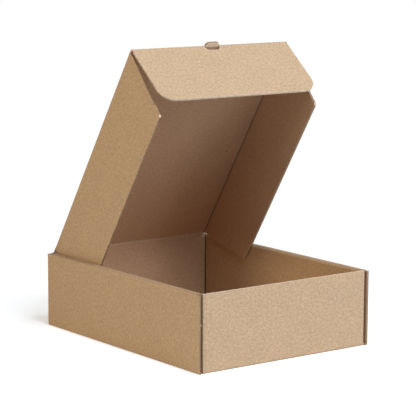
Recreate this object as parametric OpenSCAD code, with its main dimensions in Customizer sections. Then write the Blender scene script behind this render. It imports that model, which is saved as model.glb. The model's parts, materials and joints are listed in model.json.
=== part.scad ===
// Hamper box: a one-piece die-cut mailer of plain corrugated board.
// The tray has rolled side walls, and the lid is hinged on the back wall.
// X runs left to right, Y front to back and Z up.
// The origin is the middle of the tray's underside.

/* [Board] */
// Thickness of the corrugated board
board_t = 2.8; // [2:0.1:3.4]
// Inside radius of a folded crease
crease_r = 0.3; // [0.2:0.1:0.8]
// Gap between the layers of a rolled side wall
ply_gap = 0.8; // [0.2:0.1:1]
// Gap at a crease that hinges
fold_gap = 0.3; // [0.2:0.1:0.5]
// Gap between the end of an inner side panel and the end wall beside it
edge_gap = 2; // [0.3:0.1:3]

/* [Tray] */
// Outside width of the tray, left to right
box_w = 280; // [240:1:340]
// Outside depth of the tray, front to back
box_d = 350; // [300:1:420]
// Outside height of the tray
box_h = 102; // [70:1:130]
// Length of the ears that are folded into the side walls
ear_len = 72; // [40:1:100]
// How far an ear narrows from its fold to its end
ear_taper = 6; // [0:1:15]
// Cut across each free corner of an ear
ear_chamfer = 8; // [2:1:12]
// Length of the slope at each end of the front and back walls' rims, down to the ear's fold
relief_run = 1; // [0.5:0.5:6]
// How far the ears' folds end below the rim
relief_drop = 0.5; // [0.3:0.1:1]
// Gap between an ear's fold and the end of the rolled rim
rim_setback = 0.9; // [0.5:0.1:6]

/* [Locking tabs] */
// Length of each locking tab at its root
tab_len = 46; // [20:1:70]
// Distance of a tab's middle from the middle of its wall
tab_offset = 84; // [50:1:110]
// How far each end of a tab narrows
tab_taper = 1.5; // [0:0.5:3]
// Clearance round a tab in its slot
slot_clear = 0.4; // [0.3:0.1:1]
// Height of a tab's end above the underside
tab_recess = 0.5; // [0.3:0.1:1]

/* [Lid] */
// Angle of the lid from its closed position
lid_angle = 57.4; // [45:0.1:90]
// Gap between the closed lid and the rim
lid_lift = 0.3; // [0.2:0.1:1]
// Clearance between a side flap and the rolled wall beside it
side_clear = 0.5; // [0.4:0.1:2]
// Clearance between the front flap's fold and the front wall
front_clear = 0.9; // [0.6:0.1:3]

/* [Front flap] */
// Fold of the front flap, from flat with the lid
front_flap_angle = 97.5; // [96:0.5:104]
// Clearance under the front flap when the box is closed
front_flap_floor = 8.9; // [2:0.1:20]
// Inset of the front flap's sides from the lid's sides
front_flap_inset = 2; // [1:0.5:8]
// Radius of the front flap's lower corners
front_flap_r = 22; // [8:1:35]

/* [Side flaps] */
// Fold of the side flaps, from flat with the lid
side_flap_angle = 90; // [90:0.5:100]
// Clearance under the side flaps when the box is closed
side_flap_floor = 4.4; // [2:0.1:20]
// How far each end of a side flap narrows, from its fold to its free edge
side_flap_taper = 32; // [25:1:60]
// Setback of a side flap's ends from the lid's corners
side_flap_relief = 2.5; // [2:0.5:6]
// Radius of the side flaps' free corners
side_flap_r = 4; // [1:1:12]

/* [Thumb tab] */
// Width of the thumb tab at the front fold
thumb_w = 22; // [16:1:40]
// Height of the thumb tab
thumb_h = 7; // [6.5:0.5:9]
// Radius of the thumb tab's corners
thumb_r = 5; // [2:0.5:5.5]
// Clearance between the thumb tab and the hole that it leaves
thumb_clear = 0.5; // [0.5:0.1:1]

/* [Hidden] */
$fn = 64;
kraft = [0.73, 0.60, 0.45];
kraft_lid = [0.70, 0.57, 0.42];
kraft_flap = [0.77, 0.65, 0.50];

half_t = board_t / 2;
half_w = box_w / 2;
half_d = box_d / 2;
bend_r = board_t + crease_r;

// Rolled side wall: outer panel, ear and inner panel, one behind the other
roll_w = 3 * board_t + 2 * ply_gap;
roll_x = half_w - roll_w;
rim_half = half_d - bend_r - rim_setback;
panel_half = half_d - board_t - edge_gap;
panel_foot = board_t + ply_gap;
slot_x = roll_x - slot_clear;
slot_w = board_t + 2 * slot_clear;

// Ears: folded back from the ends of the front and back walls
ear_fold_x = half_w - board_t - ply_gap - bend_r;
ear_foot = board_t + ply_gap;
ear_top = box_h - board_t - ply_gap;
ear_fold_top = box_h - relief_drop;
relief_x = ear_fold_x - relief_run;

// Lid: its hinge axis and the axes of its folds, in the middle of the board
hinge_y = half_d - half_t;
hinge_z = box_h + lid_lift + half_t;
hinge_root = fold_root(90);
lid_half = roll_x - side_clear - half_t;
lid_edge = lid_half + half_t;
lid_len = box_d - 2 * board_t - front_clear;

// Flaps: each root stands off from its fold's axis, so that the flap can fold further in
front_overfold = 7;
side_overfold = 30;
front_root = fold_root(front_flap_angle + front_overfold);
side_root = fold_root(side_flap_angle + side_overfold);
front_flap_h = hinge_z - board_t - front_flap_floor;
front_flap_half = lid_edge - front_flap_inset;
side_flap_w = hinge_z - board_t - side_flap_floor;

// Distance from a fold's axis to a flap's root that keeps the fold gap at the angle given
function fold_root(angle) = (half_t + fold_gap - half_t * cos(angle)) / sin(angle);
function unit(v) = v / norm(v);
function wrap(i, n) = (i + n) % n;
function side_dir(pts, i, step) = unit(pts[wrap(i + step, len(pts))] - pts[i]);
function half_angle(pts, i) = acos(side_dir(pts, i, 1) * side_dir(pts, i, -1)) / 2;
function inward(pts, i) = unit(side_dir(pts, i, 1) + side_dir(pts, i, -1));
function arc_centre(pts, i, r) = pts[i] + inward(pts, i) * r / sin(half_angle(pts, i));
function tangent(pts, i, r, step) = pts[i] + side_dir(pts, i, step) * r / tan(half_angle(pts, i));

// A convex outline whose corners are rounded, each by its own radius
module rounded_outline(pts, radii) {
    last = len(pts) - 1;
    polygon([for (i = [0:last]) for (step = [-1, 1]) tangent(pts, i, radii[i], step)]);
    for (i = [0:last])
        if (radii[i] > 0)
            translate(arc_centre(pts, i, radii[i])) circle(r = radii[i]);
}

// Extrudes an outline drawn in X and Z from y0 to y1
module along_y(y0, y1) {
    translate([0, y1, 0]) rotate([90, 0, 0]) linear_extrude(y1 - y0) children();
}

// Extrudes an outline drawn in Y and Z from x0 to x1
module along_x(x0, x1) {
    translate([x0, 0, 0]) rotate([90, 0, 90]) linear_extrude(x1 - x0) children();
}

// A sheet of board, centred on its own plane
module sheet() {
    translate([0, 0, -half_t]) linear_extrude(board_t) children();
}

// Section of a square fold: a quarter ring that starts at the angle given
module bend(start) {
    intersection() {
        difference() {
            circle(r = bend_r);
            circle(r = crease_r);
        }
        rotate(start) square(bend_r);
    }
}

// Section of the outer side panel, with its fold from the base
module outer_panel_section() {
    translate([half_w - bend_r, bend_r]) bend(-90);
    translate([half_w - board_t, bend_r]) square([board_t, box_h - 2 * bend_r]);
}

// Section of the rim, where the board rolls over and down
module rim_section() {
    rim_z = box_h - bend_r;
    translate([half_w - bend_r, rim_z]) bend(0);
    translate([roll_x + bend_r, box_h - board_t]) square([roll_w - 2 * bend_r, board_t]);
    translate([roll_x + bend_r, rim_z]) bend(90);
}

// Inner side panel with its two locking tabs, drawn in Y and Z
module inner_panel_outline() {
    rim_z = box_h - bend_r;
    root = tab_len / 2;
    tip = root - tab_taper;
    polygon([[-rim_half, rim_z], [-panel_half, rim_z - bend_r], [-panel_half, panel_foot],
             [panel_half, panel_foot], [panel_half, rim_z - bend_r], [rim_half, rim_z]]);
    for (side = [-1, 1])
        translate([side * tab_offset, 0])
            polygon([[-root, panel_foot], [-tip, tab_recess], [tip, tab_recess], [root, panel_foot]]);
}

// One rolled side wall, on the right
module side_wall() {
    along_y(-half_d, half_d) outer_panel_section();
    along_y(-rim_half, rim_half) rim_section();
    along_x(roll_x, roll_x + board_t) inner_panel_outline();
}

// Slots in the base for the locking tabs of the right wall
module slots() {
    slot_half = tab_len / 2 + slot_clear;
    for (side = [-1, 1])
        translate([slot_x, side * tab_offset - slot_half, -board_t])
            cube([slot_w, 2 * slot_half, 3 * board_t]);
}

// One ear with its upright fold, at the front right corner
module ear() {
    fold_y = -half_d + bend_r;
    end_y = fold_y + ear_len;
    cut_y = end_y - ear_chamfer;
    step_y = fold_y + rim_setback / 2;
    low = ear_foot + ear_taper;
    high = ear_top - ear_taper;
    translate([ear_fold_x, fold_y, ear_foot]) linear_extrude(ear_fold_top - ear_foot) bend(-90);
    along_x(ear_fold_x + crease_r, ear_fold_x + bend_r)
        polygon([[fold_y, ear_foot], [cut_y, low], [end_y, low + ear_chamfer],
                 [end_y, high - ear_chamfer], [cut_y, high], [step_y, ear_top],
                 [fold_y, ear_fold_top]]);
}

// Front wall with its fold from the base, and the two ears at its ends
module front_wall() {
    along_x(-ear_fold_x, ear_fold_x) translate([-half_d + bend_r, bend_r]) bend(180);
    along_y(-half_d, -half_d + board_t)
        polygon([[-ear_fold_x, bend_r], [ear_fold_x, bend_r], [ear_fold_x, ear_fold_top],
                 [relief_x, box_h], [-relief_x, box_h], [-ear_fold_x, ear_fold_top]]);
    ear();
    mirror([1, 0, 0]) ear();
}

// Back wall: as the front wall, but it runs on up to the lid's hinge
module back_wall() {
    along_x(-ear_fold_x, ear_fold_x) translate([half_d - bend_r, bend_r]) bend(-90);
    along_y(half_d - board_t, half_d)
        polygon([[-ear_fold_x, bend_r], [ear_fold_x, bend_r], [ear_fold_x, ear_fold_top],
                 [relief_x, box_h], [lid_edge, box_h], [lid_edge, hinge_z], [-lid_edge, hinge_z],
                 [-lid_edge, box_h], [-relief_x, box_h], [-ear_fold_x, ear_fold_top]]);
    translate([-lid_edge, hinge_y, hinge_z]) rotate([0, 90, 0]) cylinder(h = 2 * lid_edge, r = half_t);
    mirror([0, 1, 0]) ear();
    mirror([0, 1, 0]) mirror([1, 0, 0]) ear();
}

// The tray: base, four walls, ears, rolled rims and locking tabs, all one folded sheet
module tray() {
    color(kraft) {
        difference() {
            translate([-half_w + bend_r, -half_d + bend_r, 0])
                cube([box_w - 2 * bend_r, box_d - 2 * bend_r, board_t]);
            slots();
            mirror([1, 0, 0]) slots();
        }
        side_wall();
        mirror([1, 0, 0]) side_wall();
        front_wall();
        back_wall();
    }
}

// Places its children in the lid's frame: the lid runs towards -Y from its hinge, face up
module lid_frame() {
    translate([0, hinge_y, hinge_z]) rotate([-lid_angle, 0, 0]) children();
}

// Section of the lid across its width, round where the side flaps fold
module lid_section() {
    translate([-lid_half, -half_t]) square([2 * lid_half, board_t]);
    for (side = [-1, 1])
        translate([side * lid_half, 0]) circle(r = half_t);
}

// Outline of the thumb tab, grown by the gap given
module thumb_outline(gap) {
    w = thumb_w / 2 + gap;
    h = thumb_h + gap;
    r = thumb_r + gap;
    rounded_outline([[-w, 0], [-w, -h], [w, -h], [w, 0]], [0, r, r, 0]);
}

// The thumb tab, cut out of the front flap's root and left in the lid's plane
module thumb_tab() {
    translate([0, -lid_len, 0]) sheet() thumb_outline(0);
}

// The lid panel, with round folds along its front and sides and its thumb tab
module lid() {
    color(kraft_lid) lid_frame() {
        along_y(-lid_len, -hinge_root) lid_section();
        translate([-lid_half, -lid_len, 0]) rotate([0, 90, 0]) cylinder(h = 2 * lid_half, r = half_t);
        thumb_tab();
    }
}

// The flap that tucks in behind the front wall
module front_flap() {
    w = front_flap_half;
    h = front_flap_h;
    r = front_flap_r;
    color(kraft_flap) lid_frame()
        translate([0, -lid_len, 0]) rotate([front_flap_angle, 0, 0]) sheet() difference() {
            rounded_outline([[-w, -front_root], [-w, -h], [w, -h], [w, -front_root]], [0, r, r, 0]);
            thumb_outline(thumb_clear);
        }
}

// A side flap on the right, in the lid's frame
module side_flap() {
    w = side_flap_w;
    near = -side_flap_relief;
    far = -lid_len + side_flap_relief;
    slope = (side_flap_taper - side_flap_relief) / w;
    outline = [[side_root, near - slope * side_root], [side_root, far + slope * side_root],
               [w, far + slope * w], [w, near - slope * w]];
    translate([lid_half, 0, 0]) rotate([0, side_flap_angle, 0]) sheet()
        rounded_outline(outline, [0, 0, side_flap_r, side_flap_r]);
}

// The flaps that tuck in along the rolled side walls
module left_flap() {
    color(kraft_lid) lid_frame() mirror([1, 0, 0]) side_flap();
}

module right_flap() {
    color(kraft_flap) lid_frame() side_flap();
}

tray();
lid();
front_flap();
left_flap();
right_flap();
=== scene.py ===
"""A plain folding mailer of corrugated kraft board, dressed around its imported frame.

The board of each body is a copy of its solid with the cut edges opened between the
liners. Flutes stand in the open edges, and a strip of liner closes each crease that
hinges. Patterns follow the blank: the sheet as it lay flat before it was folded.
"""

import json
import logging
import math
from dataclasses import dataclass
from enum import Enum

import bmesh
import bpy
from mathutils import Matrix, Vector

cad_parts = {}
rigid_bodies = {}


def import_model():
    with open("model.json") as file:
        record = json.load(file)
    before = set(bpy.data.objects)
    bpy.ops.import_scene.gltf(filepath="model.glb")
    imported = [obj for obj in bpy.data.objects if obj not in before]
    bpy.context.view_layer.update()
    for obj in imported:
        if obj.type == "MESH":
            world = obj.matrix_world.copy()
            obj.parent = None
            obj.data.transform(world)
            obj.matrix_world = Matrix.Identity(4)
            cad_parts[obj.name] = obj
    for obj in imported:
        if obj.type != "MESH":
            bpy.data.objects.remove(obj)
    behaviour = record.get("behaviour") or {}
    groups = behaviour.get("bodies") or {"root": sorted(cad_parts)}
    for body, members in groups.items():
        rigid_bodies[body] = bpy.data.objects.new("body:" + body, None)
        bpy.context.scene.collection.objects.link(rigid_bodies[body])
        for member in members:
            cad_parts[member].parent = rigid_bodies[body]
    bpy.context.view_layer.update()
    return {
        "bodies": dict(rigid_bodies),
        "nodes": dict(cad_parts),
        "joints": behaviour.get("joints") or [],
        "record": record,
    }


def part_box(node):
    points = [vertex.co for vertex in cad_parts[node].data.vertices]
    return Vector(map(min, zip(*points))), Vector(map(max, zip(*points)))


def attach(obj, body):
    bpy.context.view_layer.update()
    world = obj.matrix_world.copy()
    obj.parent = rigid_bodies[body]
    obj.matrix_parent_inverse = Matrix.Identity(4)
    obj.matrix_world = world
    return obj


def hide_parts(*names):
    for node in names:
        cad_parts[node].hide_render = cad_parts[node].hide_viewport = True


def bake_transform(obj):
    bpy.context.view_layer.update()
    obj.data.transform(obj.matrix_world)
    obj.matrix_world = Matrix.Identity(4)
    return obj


LOG = logging.getLogger("mailer")
MM = 0.001
RIGHT = Vector((1.0, 0.0, 0.0))
BACK = Vector((0.0, 1.0, 0.0))
UP = Vector((0.0, 0.0, 1.0))
WHITE = (1.0, 1.0, 1.0)

Tint = tuple[float, float, float]
Profile = list[tuple[Vector, Vector]]


class Role(Enum):
    """What a face of the board shows. The value is its material index on a piece."""

    OUTSIDE = 0
    INSIDE = 1
    # Pale cut edges, and painted highlight on the front flap's edge band and the side flaps' corners.
    CUT = 2
    OPEN = 3
    # Painted shade in the seams beside the outer panels and behind the inner side panels.
    PINCH = 4
    # Painted shade on the tops of the rolled rims.
    SHADED_RIM = 5
    # Painted light on the thumb tab's inside face.
    THUMB = 6


@dataclass(frozen=True)
class Board:
    """Make-up of the corrugated board.

    Sizes are in metres.
    """

    thickness: float = 2.8 * MM
    liner: float = 0.3 * MM
    flute_pitch: float = 6.4 * MM
    medium: float = 0.22 * MM
    edge_depth: float = 0.45 * MM
    lid_gap: float = 0.3 * MM

    @property
    def half(self) -> float:
        """Half of the board's thickness."""
        return self.thickness / 2

    @property
    def flute_swing(self) -> float:
        """How far the middle of the fluted layer swings to each side."""
        return self.half - self.liner - self.medium / 2


@dataclass(frozen=True)
class BoxFrame:
    """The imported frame's axes: the hinge, the lid's own directions and its folds."""

    hinge: Vector
    along: Vector
    inward: Vector
    lid_length: float
    fold_x: float
    front_fold: float
    flap_drop: float
    half_width: float
    half_depth: float
    height: float

    @classmethod
    def from_frame(cls, frame: dict, board: Board) -> "BoxFrame":
        """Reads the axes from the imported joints.

        Args:
            board: the board's make-up.

        Returns:
            The axes of the box at rest.
        """
        joints = {j["name"]: j for j in frame["joints"]}
        hinge = Vector(joints["lid_hinge"]["pos_m"])
        along = Vector(joints["left_flap_fold"]["axis"]).normalized()
        inward = Vector((0.0, -along.z, along.y))
        front = Vector(joints["front_flap_fold"]["pos_m"])
        front_fold = math.radians(joints["front_flap_fold"]["range_deg"][1])
        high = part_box("tray")[1]
        down = along * math.cos(front_fold) + inward * math.sin(front_fold)
        flap = frame["nodes"]["front_flap"].data.vertices
        return cls(
            hinge=hinge,
            along=along,
            inward=inward,
            lid_length=(front - hinge).length,
            fold_x=abs(joints["left_flap_fold"]["pos_m"][0]),
            front_fold=front_fold,
            flap_drop=max((v.co - front).dot(down) for v in flap),
            half_width=high.x,
            half_depth=high.y,
            height=hinge.z - board.half - board.lid_gap,
        )

    @property
    def down(self) -> Vector:
        """Direction from the front fold to the front flap's free edge."""
        return self.along * math.cos(self.front_fold) + self.inward * math.sin(self.front_fold)

    @property
    def facing(self) -> Vector:
        """Normal of the front flap's inside."""
        return self.inward * math.cos(self.front_fold) - self.along * math.sin(self.front_fold)

    def lid_point(self, x: float, s: float, depth: float) -> Vector:
        """A point given by x, distance s from the hinge, and depth towards the inside."""
        return self.hinge + self.along * s + self.inward * depth + Vector((x, 0, 0))


@dataclass(frozen=True)
class KraftFinish:
    """Look of one paper.

    Grain, mottle and washboard are shares of the colour. The spot is a place on the blank,
    in metres. A finish that isn't on the blank takes its pattern from the object's own space.
    """

    name: str
    base: Tint
    dark: Tint
    light: Tint
    mottle: float = 0.12
    grain: float = 1.3
    fibre: float = 0.45
    flecks: float = 0.5
    washboard: float = 0.008
    roughness: float = 0.8
    bump: float = 0.2
    spot: tuple[float, float, float] = (9.0, 9.0, 9.0)
    on_blank: bool = True


def edge_kraft(name: str, base: Tint, dark: Tint, light: Tint, on_blank: bool = True) -> KraftFinish:
    """A finish for an edge or a fold, where no flutes show through."""
    return KraftFinish(name, base, dark, light, washboard=0.0, on_blank=on_blank)


OUTSIDE_KRAFT = KraftFinish("kraft_outside", (0.50, 0.335, 0.195), (0.28, 0.165, 0.085), (0.66, 0.49, 0.33))
INSIDE_KRAFT = KraftFinish(
    "kraft_inside",
    (0.49, 0.302, 0.175),
    (0.26, 0.148, 0.08),
    (0.62, 0.44, 0.295),
    grain=0.9,
    fibre=0.35,
    spot=(0.1036, 0.4327, 0.0),
)
CREASE_KRAFT = edge_kraft("kraft_crease", (0.54, 0.385, 0.25), (0.34, 0.22, 0.13), (0.70, 0.54, 0.39))
# Painted shade: a near-black brown for the seams beside the outer panels and the strip behind each inner
# side panel.
PAINTED_SHADE_KRAFT = edge_kraft("kraft_painted_shade", (0.16, 0.085, 0.048), (0.08, 0.04, 0.025), (0.24, 0.15, 0.09))
# Pale tone of cut edges, also used as painted highlight on the front flap's edge band and the side flaps'
# corners.
CUT_EDGE_AND_HIGHLIGHT_KRAFT = edge_kraft("kraft_cut_edge_and_highlight", (0.68, 0.53, 0.375), (0.44, 0.32, 0.20), (0.78, 0.65, 0.49))
OPEN_KRAFT = edge_kraft("kraft_open_edge", (0.34, 0.205, 0.105), (0.17, 0.10, 0.05), (0.46, 0.31, 0.18))
# Painted shade: a darker tone for the tops of the rolled rims, so that light from above lights them less.
SHADED_RIM_KRAFT = edge_kraft("kraft_rim_painted_shade", (0.385, 0.25, 0.14), (0.21, 0.125, 0.065), (0.52, 0.37, 0.24))
# Painted light: a pale tone for the thumb tab's inside face, which would otherwise lie in shade.
THUMB_PAINTED_LIGHT_KRAFT = edge_kraft("kraft_thumb_painted_light", (0.72, 0.56, 0.40), (0.42, 0.30, 0.19), (0.84, 0.70, 0.54))
# Painted shade: a dark brown for the inside corners of the side flaps' folds.
FOLD_SHADE_KRAFT = edge_kraft("kraft_fold_painted_shade", (0.25, 0.15, 0.083), (0.13, 0.075, 0.045), (0.36, 0.24, 0.145))
FLUTE_KRAFT = edge_kraft(
    "kraft_flutes", (0.56, 0.43, 0.31), (0.36, 0.25, 0.16), (0.70, 0.56, 0.42), on_blank=False
)

ROLE_FINISHES = (
    OUTSIDE_KRAFT,
    INSIDE_KRAFT,
    CUT_EDGE_AND_HIGHLIGHT_KRAFT,
    OPEN_KRAFT,
    PAINTED_SHADE_KRAFT,
    SHADED_RIM_KRAFT,
    THUMB_PAINTED_LIGHT_KRAFT,
)


def rgba(colour: Tint) -> tuple[float, float, float, float]:
    """The colour with full opacity."""
    return (*colour, 1.0)


def add_object(name: str, mesh: bpy.types.Mesh) -> bpy.types.Object:
    """Puts a mesh in the scene as an object at the origin, and reports it.

    Args:
        name: the object's name.
        mesh: its mesh.

    Returns:
        The object.
    """
    made = bpy.data.objects.new(name, mesh)
    bpy.context.scene.collection.objects.link(made)
    LOG.info("%s: %d faces", name, len(mesh.polygons))
    return made


def split_faces(shape: bmesh.types.BMesh, place: Vector, normal: Vector) -> None:
    """Cuts faces in two along the plane through a place, and keeps both halves."""
    whole = [*shape.verts, *shape.edges, *shape.faces]
    bmesh.ops.bisect_plane(shape, geom=whole, plane_co=place, plane_no=normal, dist=0.001 * MM)


class NodeSheet:
    """A node tree that is filled from left to right."""

    def __init__(self, tree: bpy.types.NodeTree) -> None:
        """Keeps the tree and starts its first column."""
        self.tree = tree
        self.column = 0

    def add(self, kind: str, settings: dict | None = None, **inputs: object) -> bpy.types.Node:
        """Adds a node.

        Args:
            kind: the node's type name.
            settings: values of the node's own properties.
            inputs: an output socket or a value for each input, by the input's name with _
                for a space, or by its number after the letter i.

        Returns:
            The new node.
        """
        node = self.tree.nodes.new(kind)
        node.location = (220 * self.column, -160 * (self.column % 4))
        self.column += 1
        for key, value in (settings or {}).items():
            setattr(node, key, value)
        for key, value in inputs.items():
            number = key[1:]
            by_number = key[0] == "i" and number.isdigit()
            socket = node.inputs[int(number) if by_number else key.replace("_", " ")]
            if isinstance(value, bpy.types.NodeSocket):
                self.tree.links.new(value, socket)
            else:
                socket.default_value = value
        return node

    def math(
        self, operation: str, first: object, second: object = 0.0, third: object = 0.0
    ) -> bpy.types.NodeSocket:
        """Adds a Math node and returns its output."""
        return self.add("ShaderNodeMath", {"operation": operation}, i0=first, i1=second, i2=third).outputs[0]

    def mix(self, factor: object, first: object, second: object, blend: str = "MIX") -> bpy.types.NodeSocket:
        """Adds a colour Mix node and returns its colour."""
        settings = {"data_type": "RGBA", "blend_type": blend}
        return self.add("ShaderNodeMix", settings, i0=factor, i6=first, i7=second).outputs[2]

    def ramp(self, value: object, low: float, high: float, top: float = 1.0) -> bpy.types.NodeSocket:
        """Adds a Map Range node that goes from 0 at low to top at high, and returns its output."""
        return self.add("ShaderNodeMapRange", i0=value, i1=low, i2=high, i3=0.0, i4=top).outputs[0]

    def noise(
        self, place: object, scale: float, detail: float, roughness: float, distortion: float = 0.0
    ) -> bpy.types.NodeSocket:
        """Adds a Noise node and returns its value."""
        sizes = {"Scale": scale, "Detail": detail, "Roughness": roughness, "Distortion": distortion}
        return self.add("ShaderNodeTexNoise", Vector=place, **sizes).outputs[0]


class PaperShaders:
    """Builds the paper effect once and a material for each finish."""

    PULP_PER_M = 300.0
    FIBRES_PER_M = 520.0
    MOTTLE_PER_M = 30.0
    FLECKS_PER_M = 260.0
    SPOT_RADIUS = 1.7 * MM
    SPOT_INK = (0.05, 0.03, 0.02)
    SPOT_STRENGTH = 0.8
    FIBRE_DRAW = (0.45, 1.9, 1.0)
    PULP_SHARE = 0.6
    FIBRE_SHARE = 0.4
    LIGHT_FROM, LIGHT_TO = 0.52, 0.66
    DARK_FROM, DARK_TO = 0.48, 0.34
    FLECK_FROM, FLECK_TO = 0.70, 0.78
    ROUGHNESS_SWING = 0.4
    RIDGE_GAIN = 20.0
    BUMP_DEPTH = 0.15 * MM
    SPECULAR = 0.28

    def __init__(self, board: Board) -> None:
        """Builds the shared group.

        Args:
            board: the board that the papers cover.
        """
        self.board = board
        self.group = self._paper_group()
        self.made: dict[str, bpy.types.Material] = {}

    def _add_sockets(self, face: bpy.types.NodeTreeInterface) -> None:
        """Gives the paper group its inputs and outputs.

        Args:
            face: the group's interface.
        """
        for name in ("Blank", "Spot"):
            face.new_socket(name, in_out="INPUT", socket_type="NodeSocketVector")
        for name in ("Base", "Dark", "Light"):
            face.new_socket(name, in_out="INPUT", socket_type="NodeSocketColor")
        for name in ("Mottle", "Grain", "Fibre", "Flecks", "Washboard", "Roughness"):
            face.new_socket(name, in_out="INPUT", socket_type="NodeSocketFloat")
        face.new_socket("Color", in_out="OUTPUT", socket_type="NodeSocketColor")
        for name in ("Roughness", "Height"):
            face.new_socket(name, in_out="OUTPUT", socket_type="NodeSocketFloat")

    def _paper_group(self) -> bpy.types.NodeTree:
        """Builds the group that gives paper its pulp, fibres, flecks, mottling and flute lines.

        Returns:
            The group, with outputs Color, Roughness and Height.
        """
        tree = bpy.data.node_groups.new("kraft_paper", "ShaderNodeTree")
        self._add_sockets(tree.interface)
        sheet = NodeSheet(tree)
        given = sheet.add("NodeGroupInput").outputs
        blank = given["Blank"]
        pulp = sheet.noise(blank, self.PULP_PER_M, 5.0, 0.82)
        points = {"vector_type": "POINT"}
        drawn = sheet.add("ShaderNodeMapping", points, Vector=blank, Scale=self.FIBRE_DRAW).outputs[0]
        fibres = sheet.noise(drawn, self.FIBRES_PER_M, 3.0, 0.7, 0.5)
        clouds = sheet.noise(blank, self.MOTTLE_PER_M, 2.0, 0.5)
        specks = sheet.noise(blank, self.FLECKS_PER_M, 1.0, 0.5)
        pulp_part = sheet.math("MULTIPLY", pulp, self.PULP_SHARE)
        texture = sheet.math("ADD", pulp_part, sheet.math("MULTIPLY", fibres, self.FIBRE_SHARE))
        lit = sheet.ramp(texture, self.LIGHT_FROM, self.LIGHT_TO)
        shaded = sheet.ramp(texture, self.DARK_FROM, self.DARK_TO)
        colour = sheet.mix(sheet.math("MULTIPLY", lit, given["Fibre"]), given["Base"], given["Light"])
        colour = sheet.mix(sheet.math("MULTIPLY", shaded, given["Fibre"]), colour, given["Dark"])
        fleck = sheet.ramp(specks, self.FLECK_FROM, self.FLECK_TO)
        colour = sheet.mix(sheet.math("MULTIPLY", fleck, given["Flecks"]), colour, given["Dark"])
        gap = {"operation": "DISTANCE"}
        away = sheet.add("ShaderNodeVectorMath", gap, i0=blank, i1=given["Spot"]).outputs["Value"]
        spot = sheet.ramp(away, self.SPOT_RADIUS, self.SPOT_RADIUS / 2, self.SPOT_STRENGTH)
        colour = sheet.mix(spot, colour, rgba(self.SPOT_INK))
        across = sheet.add("ShaderNodeSeparateXYZ", Vector=blank).outputs[1]
        wave = sheet.math("SINE", sheet.math("MULTIPLY", across, 2 * math.pi / self.board.flute_pitch))
        gain = sheet.math("MULTIPLY_ADD", sheet.math("SUBTRACT", clouds, 0.5), given["Mottle"], 1.0)
        gain = sheet.math("MULTIPLY_ADD", sheet.math("SUBTRACT", texture, 0.5), given["Grain"], gain)
        gain = sheet.math("MULTIPLY_ADD", wave, given["Washboard"], gain)
        grey = sheet.add("ShaderNodeCombineColor", i0=gain, i1=gain, i2=gain).outputs[0]
        colour = sheet.mix(1.0, colour, grey, "MULTIPLY")
        off_middle = sheet.math("SUBTRACT", texture, 0.5)
        rough = sheet.math("MULTIPLY_ADD", off_middle, self.ROUGHNESS_SWING, given["Roughness"])
        ridges = sheet.math("MULTIPLY", wave, sheet.math("MULTIPLY", given["Washboard"], self.RIDGE_GAIN))
        height = sheet.math("ADD", texture, ridges)
        sheet.add("NodeGroupOutput", Color=colour, Roughness=rough, Height=height)
        return tree

    def material(self, finish: KraftFinish) -> bpy.types.Material:
        """The material of a finish, built the first time that it is asked for.

        Args:
            finish: the paper's look.

        Returns:
            The material.
        """
        if finish.name in self.made:
            return self.made[finish.name]
        material = bpy.data.materials.new(finish.name)
        material.use_nodes = True
        sheet = NodeSheet(material.node_tree)
        shader = material.node_tree.nodes["Principled BSDF"]
        if finish.on_blank:
            place = sheet.add("ShaderNodeUVMap", {"uv_map": "blank"}).outputs[0]
        else:
            place = sheet.add("ShaderNodeTexCoord").outputs["Object"]
        paper = sheet.add(
            "ShaderNodeGroup",
            {"node_tree": self.group},
            Blank=place,
            Spot=finish.spot,
            Base=rgba(finish.base),
            Dark=rgba(finish.dark),
            Light=rgba(finish.light),
            Mottle=finish.mottle,
            Grain=finish.grain,
            Fibre=finish.fibre,
            Flecks=finish.flecks,
            Washboard=finish.washboard,
            Roughness=finish.roughness,
        ).outputs
        sizes = {"Strength": finish.bump, "Distance": self.BUMP_DEPTH}
        bump = sheet.add("ShaderNodeBump", Height=paper["Height"], **sizes).outputs[0]
        links = material.node_tree.links
        links.new(paper["Color"], shader.inputs["Base Color"])
        links.new(paper["Roughness"], shader.inputs["Roughness"])
        links.new(bump, shader.inputs["Normal"])
        shader.inputs["Specular IOR Level"].default_value = self.SPECULAR
        self.made[finish.name] = material
        return material

    def dress(self, mesh: bpy.types.Mesh) -> None:
        """Gives a mesh the papers, in the order of Role, before its faces are sorted.

        Args:
            mesh: the board's mesh.
        """
        mesh.materials.clear()
        for finish in ROLE_FINISHES:
            mesh.materials.append(self.material(finish))


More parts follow.
